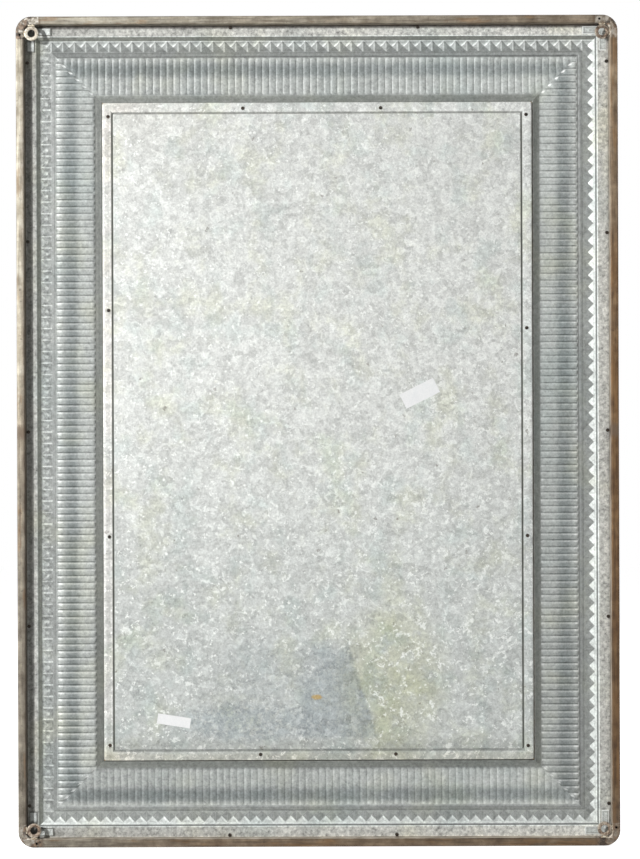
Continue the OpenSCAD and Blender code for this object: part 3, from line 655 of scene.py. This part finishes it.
# Inset, corner radius and depth of each loop, from the rolled edge over the groove
plate_section = [
    (0.30, 2.4, 2.3), (0.0, 2.6, 2.1), (0.0, 2.6, 0.9), (0.18, 2.5, 0.45), (0.55, 2.2, 0.12),
    (1.1, 1.9, 0.0), (10.9, 4.2, 0.0), (11.4, 3.9, 0.1), (11.8, 3.6, 0.55), (12.2, 3.3, 1.15),
    (12.6, 3.1, 1.4), (13.0, 2.9, 1.15), (13.4, 2.6, 0.55), (13.8, 2.4, 0.1), (14.4, 2.2, 0.0),
]
under_section = [
    (14.4, 2.2, 0.8), (13.9, 2.4, 0.9), (13.4, 2.7, 1.9), (12.6, 3.1, 2.3), (11.8, 3.6, 1.9),
    (11.3, 3.9, 0.9), (10.9, 4.2, 0.8), (1.4, 1.9, 0.8), (0.8, 2.1, 1.2), (0.8, 2.1, 2.3),
]
loops = [
    rounded_loop(PLATE_IN + w, r, PLATE_DEPTH + d) for w, r, d in plate_section + under_section
]
ring = len(loops[0])
plate_points = [p for loop in loops for p in loop]
plate_faces = []
for k in range(len(loops)):
    if k == len(plate_section) - 1:
        continue
    a, b = k * ring, ((k + 1) % len(loops)) * ring
    for j in range(ring):
        n = (j + 1) % ring
        plate_faces.append((a + j, b + j, b + n, a + n))
top, under = (len(plate_section) - 1) * ring, len(plate_section) * ring
plate_faces.append(tuple(top + j for j in reversed(range(ring))))
plate_faces.append(tuple(under + j for j in range(ring)))

sheet = Finish("spangled_plate", Metallic=0.06, Specular_IOR_Level=0.25)
inset, upright, x, z = edge_inset(sheet)
warp = sheet.node(
    "ShaderNodeVectorMath", {"operation": "MULTIPLY_ADD"},
    {0: sheet.clouds(70.0, 3.0).out("Color"), 1: (0.012, 0.012, 0.012), 2: sheet.at},
)
big, big_tint, big_gloss = sheet.flakes(95.0, warp)
small, small_tint, small_gloss = sheet.flakes(290.0, warp)
haze = sheet.clouds(6.5, 4.0, 0.6)
fine = sheet.clouds(430.0, 4.0, 0.8)
curl = sheet.clouds(150.0, 5.0, 0.75, warp)
vein = (curl - 0.5).size().fall(0.0, 0.022) * haze.rise(0.40, 0.55)
shade = (
    0.90 + (big - 0.5) * 0.21 + (small - 0.5) * 0.16 + (haze - 0.5) * 0.24
    + (fine - 0.5) * 0.95 + (curl - 0.5) * 0.85 - vein * 0.15
)
# Base tone, painted darker towards the right as painted shade
tone = sheet.tint(1.0, (0.68, 0.693, 0.668, 1.0), shade * (1.0 - x * 0.22))
# Warmer and a little darker at the top on the right, partly painted shade
tone = sheet.tint(z.rise(0.30, 0.45) * x.rise(0.05, 0.30), tone, (0.93, 0.905, 0.87, 1.0))
for film, by in (
    (sheet.clouds(17.0, 4.0, 0.65).rise(0.48, 0.68), (0.95, 0.955, 0.80, 1.0)),
    (sheet.clouds(21.0, 3.0, 0.6).rise(0.50, 0.66), (0.86, 0.93, 0.925, 1.0)),
):
    tone = sheet.tint(film * 0.55, tone, by)


def patch(x, z, cx, cz, rx, rz, soft, wobble):
    """Soft-edged mask round a place on the plate, in metres, with an uneven outline."""
    dx, dz = (x - cx) * (1 / rx), (z - cz) * (1 / rz)
    return (dx * dx + dz * dz + (wobble - 0.5) * 1.6).fall(1.0 - soft, 1.0 + soft)


# Blue-grey stain with one straight slanting side, drifts of it beside, yellow film, rust spot
ragged = sheet.clouds(30.0, 5.0, 0.75)
torn = sheet.clouds(120.0, 4.0, 0.8)
# Darker and a little bluer towards the foot: painted shade
low = (z + (ragged - 0.5) * 0.22).fall(-0.36, 0.12)
tone = sheet.tint(low * 0.62, tone, (0.70, 0.73, 0.735, 1.0))
stained = sheet.tint(1.0, (0.345, 0.382, 0.392, 1.0), shade + (torn - 0.5) * 0.5)
straight_side = x - z * 0.321 - 0.0451 + (torn - 0.5) * 0.008
torn_side = x + (z + 0.316).most(0.0) * 0.33 + (ragged - 0.5) * 0.07 + (torn - 0.5) * 0.03
wedge = straight_side.rise(0.0, 0.006) * torn_side.fall(0.010, 0.030)
wedge = wedge * (z + (ragged - 0.5) * 0.05).fall(-0.268, -0.258) * (z * -1.0).fall(0.372, 0.380)
tone = sheet.mix(wedge * (0.55 + torn.rise(0.40, 0.55) * 0.30), tone, stained)
drift = patch(x, z, 0.085, -0.357, 0.085, 0.024, 0.6, ragged)
drift = drift.most(patch(x, z, 0.065, -0.295, 0.060, 0.045, 0.7, ragged) * 0.45)
tone = sheet.mix(drift * torn.rise(0.40, 0.52) * 0.75, tone, stained)
yellow = patch(x, z, -0.090, -0.305, 0.062, 0.085, 0.9, ragged)
yellow = yellow * sheet.clouds(45.0, 4.0, 0.7).rise(0.25, 0.55)
tone = sheet.tint(yellow * 0.8, tone, (0.90, 0.89, 0.72, 1.0))
rust = patch(x, z, 0.0025, -0.3265, 0.006, 0.003, 0.8, sheet.clouds(300.0))
tone = sheet.mix(rust * 0.85, tone, (0.46, 0.31, 0.09, 1.0))
# Painted glints on bright flakes, more of them low down, and a few dark specks
glint = small_gloss.rise(0.88, 0.94) * fine.rise(0.46, 0.56)
glint = glint.most(big_tint.rise(0.70, 0.90) * curl.rise(0.51, 0.58) * (0.48 - x - z * 1.3).most(0.0))
glint = glint.least(1.0) * (1.0 - wedge.most(drift) * 0.75)
tone = sheet.mix(glint * 0.72, tone, (0.88, 0.90, 0.87, 1.0))
speck = small_tint.fall(0.0012, 0.0018) * fine.rise(0.42, 0.50)
tone = sheet.mix(speck * 0.6, tone, (0.14, 0.12, 0.095, 1.0))
# Painted light on the right border with painted highlights by its bends, painted shade on the left
# rolled edge and just inside the groove at the foot, a warmer, darker strip below the groove at the
# foot, and painted shade in the groove
border = inset.fall(115.0, 117.0)
right_border = border * x.rise(0.20, 0.26)
for share, by in (
    (right_border, (1.06, 1.02, 1.01, 1.0)),
    (right_border * (inset - 110.0).size().rise(2.0, 3.5), 1.22),
    (inset.fall(104.8, 106.8) * upright * x.fall(-0.1, 0.1), 0.66),
    (z.fall(-0.386, -0.370) * inset.rise(117.0, 118.0), (0.83, 0.83, 0.82, 1.0)),
    (border * z.fall(-0.398, -0.390), (0.91, 0.885, 0.83, 1.0)),
):
    tone = sheet.tint(share, tone, by)
# Painted shade along the groove, its centre shifted a little by side
crooked = upright * (0.45 - x.rise(-0.1, 0.1) * 0.85) + (1.0 - upright) * z * 1.5
pressed = (inset - (PLATE_IN + GROOVE + crooked)).size().fall(0.5, 2.1)
tone = sheet.mix(pressed * (0.55 + upright * 0.35), tone, (0.11, 0.115, 0.10, 1.0))
sheet.feed(Base_Color=tone, Roughness=0.40 + big_gloss * 0.18)
sheet.relief(big * 0.3 + fine * 0.3 + haze, 0.10, 0.5)
piece("grooved_back_plate", plate_points, plate_faces, sheet, ["back_plate"], crease=45)

# Hanging rings
# Zinc-coated washers set in the corners of the rail and held by two short welds each, which
# burnt the zinc to a cream and brown crust.
weld_crust = Finish("weld_crust", Metallic=0.3)
crust = weld_crust.clouds(260.0, 4.0, 0.7)
weld_crust.feed(
    Base_Color=weld_crust.tones(crust, [
        (0.34, (0.085, 0.045, 0.022)), (0.45, (0.31, 0.235, 0.160)), (0.58, (0.62, 0.57, 0.45)),
        (0.72, (0.80, 0.77, 0.66)),
    ]),
    Roughness=0.45 + crust * 0.3,
)
weld_crust.relief(crust, 0.5, 0.8)

washer = Finish("washer_zinc", Metallic=0.3)
pitting = washer.clouds(300.0, 4.0, 0.7)
x, z = washer.split(washer.at)[::2]
rim = from_ring(x, z).rise(4.6e-5, 6.8e-5)
clean = x.rise(0.2, 0.3) * z.rise(0.2, 0.3) * 0.60
burnt = (washer.clouds(120.0, 4.0, 0.7) - 0.5) * 2.4 + 0.92 - clean - rim * 0.25
washer.feed(
    Base_Color=washer.mix(
        burnt.least(1.0).most(0.0),
        washer.tones(pitting, [
            (0.34, (0.24, 0.20, 0.15)), (0.50, (0.54, 0.50, 0.41)), (0.64, (0.74, 0.71, 0.62)),
        ]),
        washer.tones(pitting, [
            (0.36, (0.035, 0.020, 0.012)), (0.50, (0.165, 0.105, 0.068)), (0.64, (0.40, 0.33, 0.25)),
        ]),
    ),
    Roughness=0.40 + pitting * 0.25,
)
washer.relief(pitting, 0.2, 0.6)


def washer_mesh(name, cx, cz, corner):
    """A stamped washer with worn edges that rises and falls a little round its rim."""
    section = [
        (4.5, 0.75), (4.75, 0.25), (5.3, 0.02), (7.9, 0.02), (8.55, 0.25), (8.85, 0.8),
        (8.85, 2.2), (8.5, 2.8), (7.9, 3.0), (5.2, 3.0), (4.7, 2.75), (4.5, 2.3),
    ]
    steps = 56
    points, faces = [], []
    for k in range(steps):
        a = 2 * math.pi * k / steps
        for r, depth in section:
            ragged = noise.noise(Vector((math.cos(a) * 2, math.sin(a) * 2, corner * 7 + r))) * 0.22
            r2 = r + ragged * (1 if r > 6 else 0.7)
            worn_depth = max(0.02, depth + ragged * 0.2)
            points.append(place(cx + r2 * math.cos(a), cz + r2 * math.sin(a), worn_depth))
    n = len(section)
    for k in range(steps):
        a, b = k * n, ((k + 1) % steps) * n
        faces += [(a + j, a + (j + 1) % n, b + (j + 1) % n, b + j) for j in range(n)]
    piece("washer_" + name, points, faces, washer, ["ring_" + name], crease=40)


WELD_SIDE_IN, WELD_END_IN = 9.6, 10.2
DROPS, DROP_PITCH, DROP_DEPTH, DROP_R = 6, 1.25, 1.9, 1.35


def weld_lumps(name, spots, seed):
    """Overlapping drops of weld metal, fused and roughened into beads."""
    shape = bmesh.new()
    for cx, cz, depth, radius in spots:
        made = bmesh.ops.create_icosphere(shape, subdivisions=3, radius=radius * MM)
        bmesh.ops.translate(shape, verts=made["verts"], vec=place(cx, cz, depth))
    mesh = bpy.data.meshes.new("weld_" + name)
    shape.to_mesh(mesh)
    shape.free()
    made = bpy.data.objects.new("weld_beads_" + name, mesh)
    bpy.context.scene.collection.objects.link(made)
    fuse = made.modifiers.new("fuse", "REMESH")
    fuse.mode, fuse.voxel_size = "VOXEL", 0.32 * MM
    bpy.context.view_layer.update()
    fused = bpy.data.meshes.new_from_object(made.evaluated_get(bpy.context.evaluated_depsgraph_get()))
    made.modifiers.clear()
    made.data = fused
    for v in fused.vertices:
        away = noise.noise(v.co * 900 + Vector((seed * 5.0, 0, 0))) * 0.35 * MM
        v.co += v.normal * away
        v.co.y = min(v.co.y, (WALL_Y - 0.05) * MM)
    fused.polygons.foreach_set("use_smooth", [True] * len(fused.polygons))
    fused.materials.clear()
    fused.materials.append(weld_crust.material)
    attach(made, "root")
    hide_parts("weld_" + name)


for number, (name, sx, sz) in enumerate((
    ("top_left", -1, 1), ("top_right", 1, 1), ("bottom_left", -1, -1), ("bottom_right", 1, -1),
)):
    rx, rz = sx * (FRAME_W / 2 - RING_IN[0]), sz * (FRAME_H / 2 - RING_IN[1])
    washer_mesh(name, rx, rz, number)
    side_x, end_z = sx * (FRAME_W / 2 - WELD_SIDE_IN), sz * (FRAME_H / 2 - WELD_END_IN)
    drops = []
    for k in range(DROPS):
        along, step = (k - (DROPS - 1) / 2) * DROP_PITCH, k % 2
        side_r, end_r = (DROP_R + 0.25 * math.sin(k * turn + number) for turn in (2.1, 1.7))
        drops.append((side_x - sx * 0.3 * step, rz + along, DROP_DEPTH, side_r))
        drops.append((rx - along, end_z - sz * (0.5 + 0.4 * step), DROP_DEPTH, end_r))
    weld_lumps(name, drops, number)

# Screws
# Blackened pan-head screws: one row through the flat strip of the tin into the ledge bars,
# one row through the back plate into the battens.
black = Finish("blackened_screw", Metallic=0.5)
rusty = black.clouds(500.0, 3.0)
black.feed(
    Base_Color=black.tones(rusty, [(0.45, (0.020, 0.018, 0.015)), (0.70, (0.085, 0.055, 0.035))]),
    Roughness=0.40 + rusty * 0.3,
)
black.relief(rusty, 0.1, 0.5)
black.cover("strip_screws", "plate_screws")

# Labels
# Two plain white paper stickers on the back plate, stuck on by hand at odd angles and a little
# lifted at the corners.
paper = Finish("label_paper", Roughness=0.75, Specular_IOR_Level=0.3)
fibre = paper.clouds(700.0, 4.0, 0.7)
crease_mark = paper.clouds(60.0, 2.0)
paper.feed(Base_Color=paper.mix(
    crease_mark.rise(0.45, 0.70) * 0.3,
    paper.tones(fibre, [(0.3, (0.74, 0.75, 0.75)), (0.7, (0.84, 0.84, 0.835))]),
    (0.70, 0.72, 0.73, 1.0),
))
paper.relief(fibre, 0.05, 0.4)


def sticker(name, node, cx, cz, w, h, degrees):
    turn = math.radians(degrees)
    steps_w, steps_h = 16, 8
    points, faces = [], []
    for under in (0, 1):
        for j in range(steps_h + 1):
            for i in range(steps_w + 1):
                a, b = 2 * i / steps_w - 1, 2 * j / steps_h - 1
                lift = 0.55 * (abs(a) * abs(b)) ** 6 + 0.12 * max(0.0, a) ** 4
                px, pz = a * w / 2, b * h / 2
                points.append(place(
                    cx + px * math.cos(turn) - pz * math.sin(turn),
                    cz + px * math.sin(turn) + pz * math.cos(turn),
                    PLATE_DEPTH - lift - (0.02 if under else 0.16),
                ))
    row, layer = steps_w + 1, (steps_w + 1) * (steps_h + 1)
    for j in range(steps_h):
        for i in range(steps_w):
            corners = [j * row + i, (j + 1) * row + i, (j + 1) * row + i + 1, j * row + i + 1]
            faces += [tuple(corners), tuple(c + layer for c in (corners[0], *corners[:0:-1]))]
    outline = list(range(row)) + [j * row + steps_w for j in range(1, steps_h + 1)]
    outline += [steps_h * row + i for i in reversed(range(steps_w))]
    outline += [j * row for j in reversed(range(1, steps_h))]
    for k, a in enumerate(outline):
        b = outline[(k + 1) % len(outline)]
        faces.append((a, b, b + layer, a + layer))
    piece(name, points, faces, paper, [node])


sticker("upper_sticker", "upper_label", -125.0, 46.0, 46.0, 19.5, -26.6)
sticker("lower_sticker", "lower_label", 178.0, -355.0, 41.0, 12.5, 9.0)

# Glass and what holds it
# Silvered glass with eased edges, backed by hardboard, between pine battens that the plate
# screws bite into.
silver = Finish("silvered_glass", Metallic=1.0, Coat_Weight=0.3)
cloudy = silver.clouds(5.0, 2.0)
silver.feed(
    Base_Color=silver.tones(cloudy, [(0.2, (0.86, 0.89, 0.88)), (0.8, (0.90, 0.92, 0.915))]),
    Roughness=0.015 + cloudy * 0.01,
)
silver.cover("mirror_glass")
ease_edges(["mirror_glass"], 0.4)

pine = Finish("pine_batten", Roughness=0.65)
growth = pine.clouds(40.0, 4.0, 0.6, pine.stretched(0.15, 1.0, 0.15))
pine.feed(Base_Color=pine.tones(growth, [(0.3, (0.40, 0.25, 0.12)), (0.7, (0.60, 0.44, 0.25))]))
pine.relief(growth, 0.2, 0.5)
pine.cover("batten_left", "batten_right", "batten_top", "batten_bottom")

board = Finish("hardboard", Roughness=0.7)
press = board.clouds(300.0, 4.0, 0.7)
board.feed(Base_Color=board.tones(press, [(0.3, (0.13, 0.075, 0.04)), (0.7, (0.21, 0.13, 0.075))]))
board.cover("backing_board")

# Floor, light and camera
# A pale floor and a white surround. One lamp stands behind the mirror's back at the left of
# the picture, one weaker lamp lights the glass side.
FLOOR_Z, FLOOR_HALF = -0.509, 6


def seen(wiring):
    """1 for what the camera, reflections and glass see, 0 for what lights the mirror."""
    path = wiring.node("ShaderNodeLightPath")
    return path.most(path.out("Is Glossy Ray")).most(path.out("Is Transmission Ray"))


def lamp(name, spot, size, watts):
    light = bpy.data.lights.new(name, "AREA")
    light.shape, light.size, light.energy = "DISK", size, watts
    made = bpy.data.objects.new(name, light)
    made.location = spot
    made.rotation_euler = (-Vector(spot)).to_track_quat("-Z", "Y").to_euler()
    bpy.context.scene.collection.objects.link(made)


floor_mesh = bpy.data.meshes.new("floor")
floor_mesh.from_pydata(
    [(sx * FLOOR_HALF, sy * FLOOR_HALF, FLOOR_Z) for sx, sy in ((-1, -1), (1, -1), (1, 1), (-1, 1))],
    [], [(0, 1, 2, 3)],
)
floor = bpy.data.objects.new("floor", floor_mesh)
bpy.context.scene.collection.objects.link(floor)
pale = Finish("pale_floor", Roughness=0.9, Specular_IOR_Level=0.1)
dust = pale.clouds(3.0)
pale.feed(Base_Color=pale.tones(dust, [(0.3, (0.80, 0.80, 0.80)), (0.7, (0.83, 0.83, 0.83))]))
glow = pale.node("ShaderNodeEmission", {}, {"Color": (1, 1, 1, 1), "Strength": seen(pale) * 0.86})
both = pale.node("ShaderNodeAddShader", {}, {0: glow, 1: Wire(pale, pale.shader.outputs[0])})
pale.tree.links.new(both.socket, pale.tree.nodes["Material Output"].inputs["Surface"])
floor_mesh.materials.append(pale.material)

world = bpy.data.worlds.new("studio")
bpy.context.scene.world = world
world.use_nodes = True
surround = world.node_tree.nodes["Background"].inputs
surround["Color"].default_value = (1, 1, 1, 1)
brightness = 0.11 + seen(Wiring(world.node_tree)) * 0.89
world.node_tree.links.new(brightness.socket, surround["Strength"])

lamp("key", (1.97, 2.32, 0.76), 0.14, 100.0)
lamp("fill", (-1.4, -2.2, 1.2), 1.2, 55.0)

DISTANCE, SENSOR = 3.0, 24.0
AIM_X, AIM_Z, TILT = -2.44, 1.96, 0.2
PICTURE_PX, FRAME_PX = 859, 831.5
camera = bpy.data.objects.new("camera", bpy.data.cameras.new("camera"))
camera.data.sensor_fit, camera.data.sensor_height = "VERTICAL", SENSOR
view_height = PICTURE_PX * FRAME_H / FRAME_PX * MM
camera.data.lens = SENSOR * (DISTANCE - WALL_Y * MM) / view_height
camera.location = (AIM_X * MM, DISTANCE, AIM_Z * MM)
camera.rotation_euler = (math.radians(90), math.radians(TILT), math.radians(180))
camera.data.clip_end = 50
bpy.context.scene.collection.objects.link(camera)
bpy.context.scene.camera = camera

bpy.context.scene.view_settings.view_transform = "Standard"
